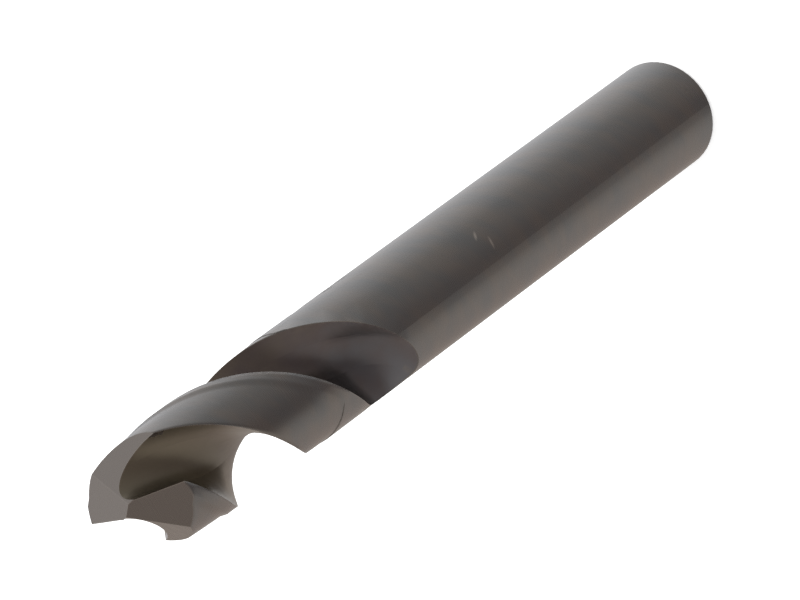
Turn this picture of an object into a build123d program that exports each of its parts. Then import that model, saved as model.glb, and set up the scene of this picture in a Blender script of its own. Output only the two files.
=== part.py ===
from build123d import *
from math import acos, atan2, cos, degrees, hypot, pi, radians, sin, sqrt, tan
import os

# Stub drill bit: one bar of hardened high-speed steel, ground all over. The origin is the
# middle of the flat shank end, the axis is +Z and the point is up. Millimetres.

# Blank
drill_diameter = 8.0
shank_diameter = 7.98
overall_length = 79.0
shank_length = 42.5
shank_edge_break = 0.25

# Flutes: two, right-hand, 180 degrees apart. One whole turn takes the lead's length.
flute_count = 2
lead_length = 37.5
flute_length = 33.7
run_out_slope_angle = 32.0
run_out_lean_angle = 75.0
run_out_blend = 1.2
core_diameter_at_point = 1.3
core_diameter_at_run_out = 1.4
land_angle_at_point = 93.0
land_angle_at_run_out = 86.0
rake_ahead_of_centre = 0.5
rake_radius = 7.5
gullet_radius = 2.1

# Body clearance behind the margin that guides the drill
margin_width = 0.75
clearance_at_heel = 0.46
clearance_at_margin = 0.24
clearance_at_start = 0.04
clearance_bevel_width = 0.6
clearance_start = 56.7

# Point: split, four facets
point_angle = 135.0
lip_ahead_of_centre = 0.66
primary_relief_angle = 15.0
chisel_length = 0.95
gash_slope_angle = 53.5
gash_skew_angle = 12.0
notch_wall_angle = 25.0

# Cuts run past the bar by this much. Sections of a flute stand closer where it runs out.
overrun_length = 1.0
sections_per_turn = 24
run_out_sections = 10

radius = drill_diameter / 2
turn_per_mm = 360 / lead_length
cone_slope = tan(radians(90 - point_angle / 2))
relief_slope = tan(radians(primary_relief_angle))
run_out_slope = tan(radians(run_out_slope_angle))
gash_slope = tan(radians(gash_slope_angle))
margin_angle = degrees(margin_width * hypot(1, 2 * pi * radius / lead_length) / radius)

# The lips lie parallel to X. Their outer corners stand at this height and this turn.
corner_x = sqrt(radius ** 2 - lip_ahead_of_centre ** 2)
corner_z = overall_length - cone_slope * corner_x + relief_slope * lip_ahead_of_centre
corner_turn = degrees(atan2(lip_ahead_of_centre, corner_x))
# The run-out starts where the flute begins to climb and ends where its floor leaves the bar.
run_out_end = overall_length - flute_length
run_out_start = run_out_end + (radius - core_diameter_at_run_out / 2) / run_out_slope + run_out_blend


def polar(distance, angle):
    return Vector(distance * cos(radians(angle)), distance * sin(radians(angle)))


def between(first, last, share):
    return first + (last - first) * share


def corner(side_a, side_b, opposite):
    """The angle between two sides of a triangle, in degrees."""
    return degrees(acos((side_a ** 2 + side_b ** 2 - opposite ** 2) / (2 * side_a * side_b)))


def lip_turn(height):
    """How far the leading edge of the first land has turned at this height."""
    return corner_turn + (height - corner_z) * turn_per_mm


def flute_section(height):
    """The flute's shape across the axis: rake arc, gullet arc and the back of the next land.

    It is drawn with the leading edge on +X, then set out from the core and turned.
    """
    core_growth = (core_diameter_at_run_out - core_diameter_at_point) / 2
    share = min(1, max(0, (overall_length - height) / (overall_length - run_out_start)))
    land_angle = between(land_angle_at_point, land_angle_at_run_out, share)
    flute_angle = 360 / flute_count - land_angle
    into_run_out = max(0, run_out_start - height)
    retreat = run_out_slope * (hypot(into_run_out, run_out_blend) - run_out_blend)

    # The rake face is a hollow arc from the leading edge, which would pass ahead of the axis.
    # The tighter gullet arc goes on from it without a corner and touches the core.
    leading_edge = Vector(radius, 0)
    rake_reach = rake_radius + rake_ahead_of_centre
    gullet_reach = gullet_radius + core_diameter_at_point / 2
    rake_turn = corner(radius, rake_reach, rake_radius)
    rake_centre = polar(rake_reach, rake_turn)
    gullet_turn = rake_turn - corner(rake_reach, gullet_reach, rake_radius - gullet_radius)
    gullet_centre = polar(gullet_reach, gullet_turn)
    inward = (gullet_centre - rake_centre).normalized()
    outward = (leading_edge - rake_centre).normalized()
    gullet_start = rake_centre + inward * rake_radius
    gullet_end = gullet_centre + polar(gullet_radius, 180)
    gullet_middle = gullet_centre + (inward + Vector(-1, 0)).normalized() * gullet_radius
    rake_middle = rake_centre + (inward + outward).normalized() * rake_radius
    # The back of the next land leaves the gullet smoothly and ends at the heel.
    heel = polar(radius, flute_angle)
    across = heel.X - gullet_end.X
    along = heel.Y - gullet_end.Y
    back_radius = (across ** 2 + along ** 2) / (2 * across)
    back_centre = gullet_end + Vector(back_radius, 0)
    outer_angle = 180 - degrees((radius + overrun_length - gullet_end.Y) / back_radius)
    back_end = back_centre + polar(back_radius, outer_angle)
    back_middle = back_centre + polar(back_radius, (180 + outer_angle) / 2)
    rake_end = leading_edge + outward.rotate(Axis.Z, 90) * overrun_length

    outline = [
        Line(rake_end, leading_edge),
        ThreePointArc(leading_edge, rake_middle, gullet_start),
        ThreePointArc(gullet_start, gullet_middle, gullet_end),
        ThreePointArc(gullet_end, back_middle, back_end),
        ThreePointArc(back_end, polar(radius + 2 * overrun_length, flute_angle / 2), rake_end),
    ]
    shift = polar(core_growth * share, flute_angle / 2) + polar(retreat, run_out_lean_angle)
    return Pos(0, 0, height) * Rot(0, 0, lip_turn(height)) * Pos(shift.X, shift.Y) * make_face(outline)


def clearance_section(height):
    """The shallow relief behind the margin. A bevel leads down to it and it deepens to the heel."""
    share = (height - clearance_start) / (overall_length - clearance_start)
    margin_floor = radius - between(clearance_at_start, clearance_at_margin, share)
    heel_floor = radius - between(clearance_at_start, clearance_at_heel, share)
    margin_edge = polar(radius, -margin_angle)
    floor_angle = -margin_angle - degrees(clearance_bevel_width / radius)
    floor_start = polar(margin_floor, floor_angle)
    bevel_start = margin_edge + (margin_edge - floor_start).normalized() * overrun_length
    heel_angle = -land_angle_at_point - degrees(overrun_length / radius)
    middle_angle = (floor_angle + heel_angle) / 2
    middle_floor = (margin_floor + heel_floor) / 2
    outside = radius + overrun_length
    outline = [
        Line(bevel_start, floor_start),
        ThreePointArc(floor_start, polar(middle_floor, middle_angle), polar(heel_floor, heel_angle)),
        Line(polar(heel_floor, heel_angle), polar(outside, heel_angle)),
        ThreePointArc(polar(outside, heel_angle), polar(outside, middle_angle), polar(outside, 0)),
        Line(polar(outside, 0), bevel_start),
    ]
    return Pos(0, 0, height) * Rot(0, 0, lip_turn(height)) * make_face(outline)


def spaced(low, high, step):
    count = round((high - low) / step)
    return [low + (high - low) * index / count for index in range(count + 1)]


# The shank is a plain cylinder. From there the blank widens a little up to the point, so that
# the lands have their back taper.
on_end = (Align.CENTER, Align.CENTER, Align.MIN)
shank = Cylinder(shank_diameter / 2, shank_length, align=on_end)
shank = chamfer(shank.edges().sort_by(Axis.Z)[0], shank_edge_break)
body = Cone(shank_diameter / 2, radius, overall_length - shank_length, align=on_end)
blank = shank + Pos(0, 0, shank_length) * body

top = overall_length + overrun_length
section_step = lead_length / sections_per_turn
flute_low = run_out_end - 2 * overrun_length
flute_heights = spaced(flute_low, run_out_start, (run_out_start - flute_low) / run_out_sections)[:-1]
flute = loft([flute_section(height) for height in flute_heights + spaced(run_out_start, top, section_step)])
clearance = loft([clearance_section(height) for height in spaced(clearance_start, top, section_step)])

drill = blank
for index in range(flute_count):
    turn = Rot(0, 0, index * 360 / flute_count)
    drill = drill - turn * clearance - turn * flute

# The two main flanks meet in the chisel edge, which crosses the axis at the full length.
tip = Vector(0, 0, overall_length)
flank = Plane(tip, z_dir=(cone_slope, -relief_slope, 1))
chisel_angle = degrees(atan2(cone_slope, relief_slope))
# The split: a notch behind each land that shortens the chisel edge and thins the web.
chisel_end = tip - polar(chisel_length / 2, chisel_angle)
heel_facet = Plane(chisel_end, z_dir=Vector(0, 0, 1) - polar(gash_slope, 90 - gash_skew_angle))
notch_wall = Plane(chisel_end, z_dir=polar(1, notch_wall_angle - 90))
stock_side = 2 * drill_diameter
stock = Pos(0, 0, overall_length) * Box(stock_side, stock_side, stock_side)
flank_cut = split(stock, bisect_by=flank, keep=Keep.TOP)
gash_cut = split(split(stock, bisect_by=heel_facet, keep=Keep.TOP), bisect_by=notch_wall, keep=Keep.TOP)
for index in range(flute_count):
    turn = Rot(0, 0, index * 360 / flute_count)
    drill = drill - turn * flank_cut - turn * gash_cut

os.makedirs("parts", exist_ok=True)
export_step(drill, "parts/drill_bit.step")
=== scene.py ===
import math

import bpy
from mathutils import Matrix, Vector


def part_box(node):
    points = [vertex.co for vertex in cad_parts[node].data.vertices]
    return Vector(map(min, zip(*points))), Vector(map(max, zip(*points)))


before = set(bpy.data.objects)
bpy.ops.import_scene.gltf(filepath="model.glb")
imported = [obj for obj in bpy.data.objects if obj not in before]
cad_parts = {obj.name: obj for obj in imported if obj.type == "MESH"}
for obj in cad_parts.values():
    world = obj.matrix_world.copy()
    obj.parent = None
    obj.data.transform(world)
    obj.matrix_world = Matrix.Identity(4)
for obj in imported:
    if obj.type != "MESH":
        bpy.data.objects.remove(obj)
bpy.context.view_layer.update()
scene = bpy.context.scene


# The drill bit is one bar of high-speed steel, hardened and then ground all over. A thin oxide
# from steam tempering leaves it dark grey. Each grinding leaves its own lines: rings round the
# shank and the lands, lines along the flutes, and straight lines across the point's facets.
def rgb(hex_colour):
    """A hex sRGB colour as linear red, green, blue and alpha."""
    parts = [int(hex_colour[i:i + 2], 16) / 255 for i in (1, 3, 5)]
    return [c / 12.92 if c <= 0.04045 else ((c + 0.055) / 1.055) ** 2.4 for c in parts] + [1.0]


def add(tree, kind, settings=None, links=None):
    """Adds a node. Inputs go by name or number, and a link is given as (node, output)."""
    node = tree.nodes.new(kind)
    for name, value in (settings or {}).items():
        if isinstance(name, int) or name in node.inputs:
            node.inputs[name].default_value = value
        else:
            setattr(node, name, value)
    for name, (source, output) in (links or {}).items():
        tree.links.new(source.outputs[output], node.inputs[name])
    return node


def new_material(name):
    """A new material without nodes, and its node tree."""
    made = bpy.data.materials.new(name)
    made.use_nodes = True
    made.node_tree.nodes.clear()
    return made, made.node_tree


# Heights are from the flat end of the shank. The leading edge of each land ends at the outer
# corner of a lip, turned this far from the X axis, and goes once round the drill in a lead.
TIP_MM = 1000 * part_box("drill_bit")[1][2]
LIP_CORNER_MM = TIP_MM - 1.46
LIP_CORNER_TURN = math.radians(9.5)
LEAD_MM = 37.5
POINT_START_MM = TIP_MM - 5
CLEARANCE_START_MM = TIP_MM - 23
FLUTE_START_MM = 44.0
SHANK_TOP_MM = 43.0
SHANK_RADIUS_MM = 3.99

# High-speed steel, ground and darkened: a satin metal that mirrors the room only softly, in
# grey. Its patterns are worked out in millimetres, from the place on the drill.
steel, tree = new_material("ground_high_speed_steel")
place = add(tree, "ShaderNodeTexCoord")
place_mm = add(tree, "ShaderNodeVectorMath", {"operation": "SCALE", "Scale": 1000},
               {0: (place, "Object")})
position = add(tree, "ShaderNodeSeparateXYZ", links={0: (place_mm, 0)})
facing = add(tree, "ShaderNodeSeparateXYZ", links={0: (place, "Normal")})
across = add(tree, "ShaderNodeVectorMath", {"operation": "MULTIPLY", 1: (1, 1, 0)},
             {0: (place_mm, 0)})
from_axis = add(tree, "ShaderNodeVectorMath", {"operation": "LENGTH"}, {0: (across, 0)})
outward = add(tree, "ShaderNodeVectorMath", {"operation": "NORMALIZE"}, {0: (across, 0)})
faces_out = add(tree, "ShaderNodeVectorMath", {"operation": "DOT_PRODUCT"},
                {0: (outward, 0), 1: (place, "Normal")})

# Round parts, which are the shank and the lands, lie far from the axis and face straight away
# from it. Their outermost rim counts as round whichever way it faces.
LAND_RADIUS_MM = 3.4
RIM_RADIUS_MM = 3.92
faces_out_enough = add(tree, "ShaderNodeMapRange", {"From Min": 0.86, "From Max": 0.9},
                       {"Value": (faces_out, "Value")})
is_outer = add(tree, "ShaderNodeMath", {"operation": "GREATER_THAN", 1: LAND_RADIUS_MM},
               {0: (from_axis, "Value")})
is_outer_face = add(tree, "ShaderNodeMath", {"operation": "MULTIPLY"},
                    {0: (faces_out_enough, 0), 1: (is_outer, 0)})
is_rim = add(tree, "ShaderNodeMath", {"operation": "GREATER_THAN", 1: RIM_RADIUS_MM},
             {0: (from_axis, "Value")})
is_round = add(tree, "ShaderNodeMath", {"operation": "MAXIMUM"},
               {0: (is_outer_face, 0), 1: (is_rim, 0)})
is_shank = add(tree, "ShaderNodeMath", {"operation": "LESS_THAN", 1: SHANK_TOP_MM},
               {0: (position, "Z")})
is_turned = add(tree, "ShaderNodeMath", {"operation": "MAXIMUM"},
                {0: (is_round, 0), 1: (is_shank, 0)})

# The point's facets are near the top and slope less than the flutes, so they face upwards.
FACET_RISE = 0.45
faces_up = add(tree, "ShaderNodeMath", {"operation": "GREATER_THAN", 1: FACET_RISE},
               {0: (facing, "Z")})
is_high = add(tree, "ShaderNodeMath", {"operation": "GREATER_THAN", 1: POINT_START_MM},
              {0: (position, "Z")})
is_point = add(tree, "ShaderNodeMath", {"operation": "MULTIPLY"},
               {0: (faces_up, 0), 1: (is_high, 0)})
is_fine = add(tree, "ShaderNodeMath", {"operation": "MAXIMUM"},
              {0: (is_turned, 0), 1: (is_point, 0)})

# Each height is turned back by the flutes' twist. That makes the flutes straight, with the
# lands' leading edges on the X axis.
TWIST_PER_MM = 2 * math.pi / LEAD_MM
twist = add(tree, "ShaderNodeMath",
            {"operation": "MULTIPLY_ADD", 1: -TWIST_PER_MM,
             2: TWIST_PER_MM * LIP_CORNER_MM - LIP_CORNER_TURN},
            {0: (position, "Z")})
straight = add(tree, "ShaderNodeVectorRotate", {"rotation_type": "Z_AXIS"},
               {"Vector": (place_mm, 0), "Angle": (twist, 0)})

# Grinding lines. Real ones are about 0.02 mm apart, too fine to show, so they are drawn 0.1 mm
# apart. Each goes on for a few millimetres before it fades.
LINE_SPACING_MM = 0.1
RING_LENGTH_MM = 4.0
FLUTE_LINE_LENGTH_MM = 5.0
FACET_LINE_LENGTH_MM = 2.5
ring_scale = (1 / RING_LENGTH_MM, 1 / RING_LENGTH_MM, 1 / LINE_SPACING_MM)
flute_scale = (1 / LINE_SPACING_MM, 1 / LINE_SPACING_MM, 1 / FLUTE_LINE_LENGTH_MM)
facet_scale = (1 / LINE_SPACING_MM, 1 / FACET_LINE_LENGTH_MM, 1 / FACET_LINE_LENGTH_MM)
rings = add(tree, "ShaderNodeVectorMath", {"operation": "MULTIPLY", 1: ring_scale},
            {0: (place_mm, 0)})
flute_lines = add(tree, "ShaderNodeVectorMath", {"operation": "MULTIPLY", 1: flute_scale},
                  {0: (straight, 0)})
facet_lines = add(tree, "ShaderNodeVectorMath", {"operation": "MULTIPLY", 1: facet_scale},
                  {0: (place_mm, 0)})
bar_lines = add(tree, "ShaderNodeMix", {"data_type": "VECTOR"},
                {0: (is_turned, 0), 4: (flute_lines, 0), 5: (rings, 0)})
line_place = add(tree, "ShaderNodeMix", {"data_type": "VECTOR"},
                 {0: (is_point, 0), 4: (bar_lines, 1), 5: (facet_lines, 0)})
lines = add(tree, "ShaderNodeTexNoise", {"Scale": 1.0, "Detail": 3.0, "Roughness": 0.6},
            {"Vector": (line_place, 1)})

# Oxide on the shank and the lands: a grey that is warmer and cooler in patches of 2 to 3 mm.
PATCH_MM = 2.5
patches = add(tree, "ShaderNodeTexNoise", {"Scale": 1 / PATCH_MM, "Detail": 2.0},
              {"Vector": (straight, 0)})
bar_tints = add(tree, "ShaderNodeValToRGB", links={"Fac": (patches, "Fac")})
bar_tints.color_ramp.elements[0].position = 0.35
bar_tints.color_ramp.elements[0].color = rgb("#7a746e")
bar_tints.color_ramp.elements[1].position = 0.65
bar_tints.color_ramp.elements[1].color = rgb("#71706e")

# Oxide in the flutes: blue-grey at the run-out, brown above it and olive near the point, with
# uneven borders. The colour is made darker towards the bottom of the flute, near the axis, and
# lighter towards the edges of the lands.
FLUTE_BOTTOM_RADIUS_MM = 1.0
FLUTE_EDGE_RADIUS_MM = 3.6
TINT_WANDER = 0.6
share_of_flute = add(tree, "ShaderNodeMapRange",
                     {"From Min": FLUTE_START_MM, "From Max": POINT_START_MM},
                     {"Value": (position, "Z")})
wander = add(tree, "ShaderNodeMath",
             {"operation": "MULTIPLY_ADD", 1: TINT_WANDER, 2: -TINT_WANDER / 2},
             {0: (patches, "Fac")})
tint_place = add(tree, "ShaderNodeMath", {"operation": "ADD"},
                 {0: (share_of_flute, 0), 1: (wander, 0)})
flute_tints = add(tree, "ShaderNodeValToRGB", links={"Fac": (tint_place, 0)})
flute_tints.color_ramp.elements[0].position = 0.1
flute_tints.color_ramp.elements[0].color = rgb("#5f5e60")
flute_tints.color_ramp.elements[1].position = 0.8
flute_tints.color_ramp.elements[1].color = rgb("#706758")
flute_tints.color_ramp.elements.new(0.35).color = rgb("#5e5654")
# Darker towards the flute's bottom near the axis, lighter towards the edges of the lands.
flute_depth_tone = add(tree, "ShaderNodeMapRange",
             {"From Min": FLUTE_BOTTOM_RADIUS_MM, "From Max": FLUTE_EDGE_RADIUS_MM,
              "To Min": 0.85, "To Max": 1.2},
             {"Value": (from_axis, "Value")})
flute_oxide = add(tree, "ShaderNodeVectorMath", {"operation": "SCALE"},
                  {0: (flute_tints, 0), "Scale": (flute_depth_tone, 0)})
bar_oxide = add(tree, "ShaderNodeMix", {"data_type": "RGBA"},
                {0: (is_turned, 0), 6: (flute_oxide, 0), 7: (bar_tints, 0)})
# The facets of the point have the thinnest oxide, in a lighter grey.
oxide = add(tree, "ShaderNodeMix", {"data_type": "RGBA", 7: rgb("#807973")},
            {0: (is_point, 0), 6: (bar_oxide, 2)})

# Worn edges and painted highlights: along the sharp edges the colour is lightened, partly where the
# oxide is rubbed off and partly as a painted glint of light on the edge, most of all near the
# point, where the drill cuts. An edge shows by how far a small rounding of it turns the surface.
EDGE_BAND_MM = 0.12
WEAR_AND_GLINT_START_MM = TIP_MM - 31
FULL_WEAR_AND_GLINT_MM = TIP_MM - 19
rounded = add(tree, "ShaderNodeBevel", {"samples": 6, "Radius": EDGE_BAND_MM / 1000})
edge = add(tree, "ShaderNodeVectorMath", {"operation": "DOT_PRODUCT"},
           {0: (rounded, 0), 1: (place, "Normal")})
most_wear_and_glint = add(tree, "ShaderNodeMapRange",
                {"From Min": WEAR_AND_GLINT_START_MM, "From Max": FULL_WEAR_AND_GLINT_MM,
                 "To Min": 0.1, "To Max": 0.42},
                {"Value": (position, "Z")})
wear_and_edge_glint = add(tree, "ShaderNodeMapRange", {"From Min": 0.96, "From Max": 0.84},
           {"Value": (edge, "Value"), "To Max": (most_wear_and_glint, 0)})

# Scratches: two short light ones on the shank, about 10 mm below the flutes. Each end is given
# as degrees round the shank and a height.
SCRATCH_HALF_WIDTH_MM = 0.17
scratches = [
    ((37.5, 33.8), (27.5, 34.6)),
    ((26.0, 33.1), (10.0, 33.4)),
]


def on_shank(degrees, height):
    """A point on the round of the shank, in millimetres."""
    angle = math.radians(degrees)
    return Vector((SHANK_RADIUS_MM * math.cos(angle), SHANK_RADIUS_MM * math.sin(angle), height))


for first, last in scratches:
    start = on_shank(*first)
    stroke = on_shank(*last) - start
    half_size = (stroke.length / 2, SCRATCH_HALF_WIDTH_MM, SCRATCH_HALF_WIDTH_MM)
    along_stroke = add(tree, "ShaderNodeMapping",
                       {"vector_type": "TEXTURE",
                        "Location": start + stroke / 2,
                        "Rotation": stroke.to_track_quat("X", "Z").to_euler(),
                        "Scale": half_size},
                       {"Vector": (place_mm, 0)})
    mark = add(tree, "ShaderNodeTexGradient", {"gradient_type": "SPHERICAL"},
               {"Vector": (along_stroke, 0)})
    bared = add(tree, "ShaderNodeMapRange", {"From Max": 0.7, "To Max": 0.75},
                {"Value": (mark, "Fac")})
    wear_and_edge_glint = add(tree, "ShaderNodeMath", {"operation": "MAXIMUM"}, {0: (wear_and_edge_glint, 0), 1: (bared, 0)})

# A light steel grey: bared steel on worn edges and scratches, and the painted highlight along the
# edges.
colour = add(tree, "ShaderNodeMix", {"data_type": "RGBA", 7: rgb("#b0a89e")},
             {0: (wear_and_edge_glint, 0), 6: (oxide, 2)})

# Gloss: a satin metal, a little uneven from line to line. The wheel leaves the flutes rougher
# than the rest, and their thicker oxide hides some of the metal.
smoothest = add(tree, "ShaderNodeMapRange", {"To Min": 0.26, "To Max": 0.22},
                {"Value": (is_fine, 0)})
roughness = add(tree, "ShaderNodeMath", {"operation": "MULTIPLY_ADD", 1: 0.1},
                {0: (lines, "Fac"), 2: (smoothest, 0)})
metallic = add(tree, "ShaderNodeMapRange", {"To Min": 0.88, "To Max": 1.0},
               {"Value": (is_fine, 0)})

# Behind the margin the wheel leaves no sharp crease, so on the lands the shading is rounded
# over 0.4 mm. The grinding lines are 0.0015 mm high.
CREASE_ROUNDING_MM = 0.4
LINE_HEIGHT_MM = 0.0015
softened = add(tree, "ShaderNodeBevel", {"samples": 8, "Radius": CREASE_ROUNDING_MM / 1000})
is_cleared = add(tree, "ShaderNodeMath", {"operation": "GREATER_THAN", 1: CLEARANCE_START_MM},
                 {0: (position, "Z")})
is_cleared_land = add(tree, "ShaderNodeMath", {"operation": "MULTIPLY"},
                      {0: (is_round, 0), 1: (is_cleared, 0)})
soft_face = add(tree, "ShaderNodeMix", {"data_type": "VECTOR"},
                {0: (is_cleared_land, 0), 4: (place, "Normal"), 5: (softened, 0)})
relief = add(tree, "ShaderNodeBump", {"Strength": 0.4, "Distance": LINE_HEIGHT_MM / 1000},
             {"Height": (lines, "Fac"), "Normal": (soft_face, 1)})
shader = add(tree, "ShaderNodeBsdfPrincipled",
             links={"Base Color": (colour, 2), "Metallic": (metallic, 0),
                    "Roughness": (roughness, 0), "Normal": (relief, 0)})
add(tree, "ShaderNodeOutputMaterial", links={"Surface": (shader, "BSDF")})

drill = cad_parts["drill_bit"]
drill.data.materials.clear()
drill.data.materials.append(steel)

# The floor is a wide pale sheet with a matt face. It adds a little light of its own to what the
# camera sees, which makes it white and keeps a faint shadow of the drill.
bpy.ops.mesh.primitive_circle_add(vertices=96, radius=3.0, fill_type="NGON")
floor = bpy.context.object
floor.name = "floor"
pale, tree = new_material("pale_floor")
path = add(tree, "ShaderNodeLightPath")
seen = add(tree, "ShaderNodeMath", {"operation": "MAXIMUM"},
           {0: (path, "Is Camera Ray"), 1: (path, "Is Glossy Ray")})
lift_amount = add(tree, "ShaderNodeMath", {"operation": "MULTIPLY", 1: 0.5}, {0: (seen, 0)})
matt = add(tree, "ShaderNodeBsdfDiffuse", {"Color": (0.8, 0.8, 0.8, 1)})
lift = add(tree, "ShaderNodeEmission", {"Color": (1, 1, 1, 1)}, {"Strength": (lift_amount, 0)})
both = add(tree, "ShaderNodeAddShader", links={0: (matt, 0), 1: (lift, 0)})
add(tree, "ShaderNodeOutputMaterial", links={"Surface": (both, 0)})
floor.data.materials.append(pale)
floor.visible_glossy = False

# The light tent is a far dome of pale cloth, which only reflections see. Its lining is white on
# one side, half bright on the other, dark towards the camera and a little darker overhead. It
# darkens between these two heights, in metres.
DARKENING_START = 0.8
DARKENING_END = 1.5
bpy.ops.mesh.primitive_uv_sphere_add(segments=64, ring_count=32, radius=2.0)
tent = bpy.context.object
tent.name = "light_tent"
lining, tree = new_material("tent_lining")
place = add(tree, "ShaderNodeTexCoord")
sector = add(tree, "ShaderNodeTexGradient", {"gradient_type": "RADIAL"},
             {"Vector": (place, "Object")})
tones = add(tree, "ShaderNodeValToRGB", links={"Fac": (sector, "Fac")})
dome_place = add(tree, "ShaderNodeSeparateXYZ", links={0: (place, "Object")})
strength = add(tree, "ShaderNodeMapRange",
               {"From Min": DARKENING_START, "From Max": DARKENING_END,
                "To Min": 1.0, "To Max": 0.75},
               {"Value": (dome_place, "Z")})
glow = add(tree, "ShaderNodeEmission", links={"Color": (tones, "Color"), "Strength": (strength, 0)})
add(tree, "ShaderNodeOutputMaterial", links={"Surface": (glow, "Emission")})

# Tone of the lining by its direction, in degrees round the drill from +X towards +Y
lining_tones = [
    (-180, "#f2f2f5"), (-150, "#cec6bf"), (-120, "#bcafa8"), (-62, "#d7d2d0"), (-40, "#cbc7c5"),
    (-24, "#908989"), (0, "#979090"), (70, "#c2c2c4"), (92, "#e1e2e6"), (120, "#f7f8fc"),
    (179, "#f2f2f5"),
]
tones.color_ramp.elements.remove(tones.color_ramp.elements[0])
for index, (degrees, tone) in enumerate(lining_tones):
    spot = (degrees + 180) / 360
    stop = tones.color_ramp.elements[0] if index == 0 else tones.color_ramp.elements.new(spot)
    stop.position = spot
    stop.color = rgb(tone)
tent.data.materials.append(lining)
tent.visible_camera = False
tent.visible_diffuse = False
tent.visible_shadow = False
tent.visible_transmission = False

# The lamp is one large soft box, above the drill on the tent's bright side. It gives the floor
# its tone and the drill its shadow.
bpy.ops.object.light_add(type="AREA", location=(-0.5, 0.9, 1.5))
lamp = bpy.context.object
lamp.data.size = 0.9
lamp.data.energy = 18
lamp.rotation_euler = (-lamp.location).to_track_quat("-Z", "Y").to_euler()

# The world is white to the camera, and gives the same pale light from all round.
world = bpy.data.worlds.new("pale_room")
scene.world = world
world.use_nodes = True
world.node_tree.nodes.clear()
sky = add(world.node_tree, "ShaderNodeBackground", {"Color": (1, 1, 1, 1), "Strength": 1.0})
add(world.node_tree, "ShaderNodeOutputWorld", links={"Surface": (sky, "Background")})

# The camera looks down on the point with a long lens, from about 0.6 m away. It is tilted, so
# the drill slants across the picture with its point at the lower left.
camera_data = bpy.data.cameras.new("camera")
camera = bpy.data.objects.new("camera", camera_data)
scene.collection.objects.link(camera)
camera_data.sensor_width = 36
camera_data.lens = 410.36
camera.location = (0.323808, 0.109603, 0.543292)
camera.rotation_mode = "QUATERNION"
camera.rotation_quaternion = (0.9443026, -0.1358237, 0.2607850, -0.1477692)
camera_data.clip_start = 0.01
camera_data.clip_end = 20
scene.camera = camera

scene.view_settings.view_transform = "Standard"
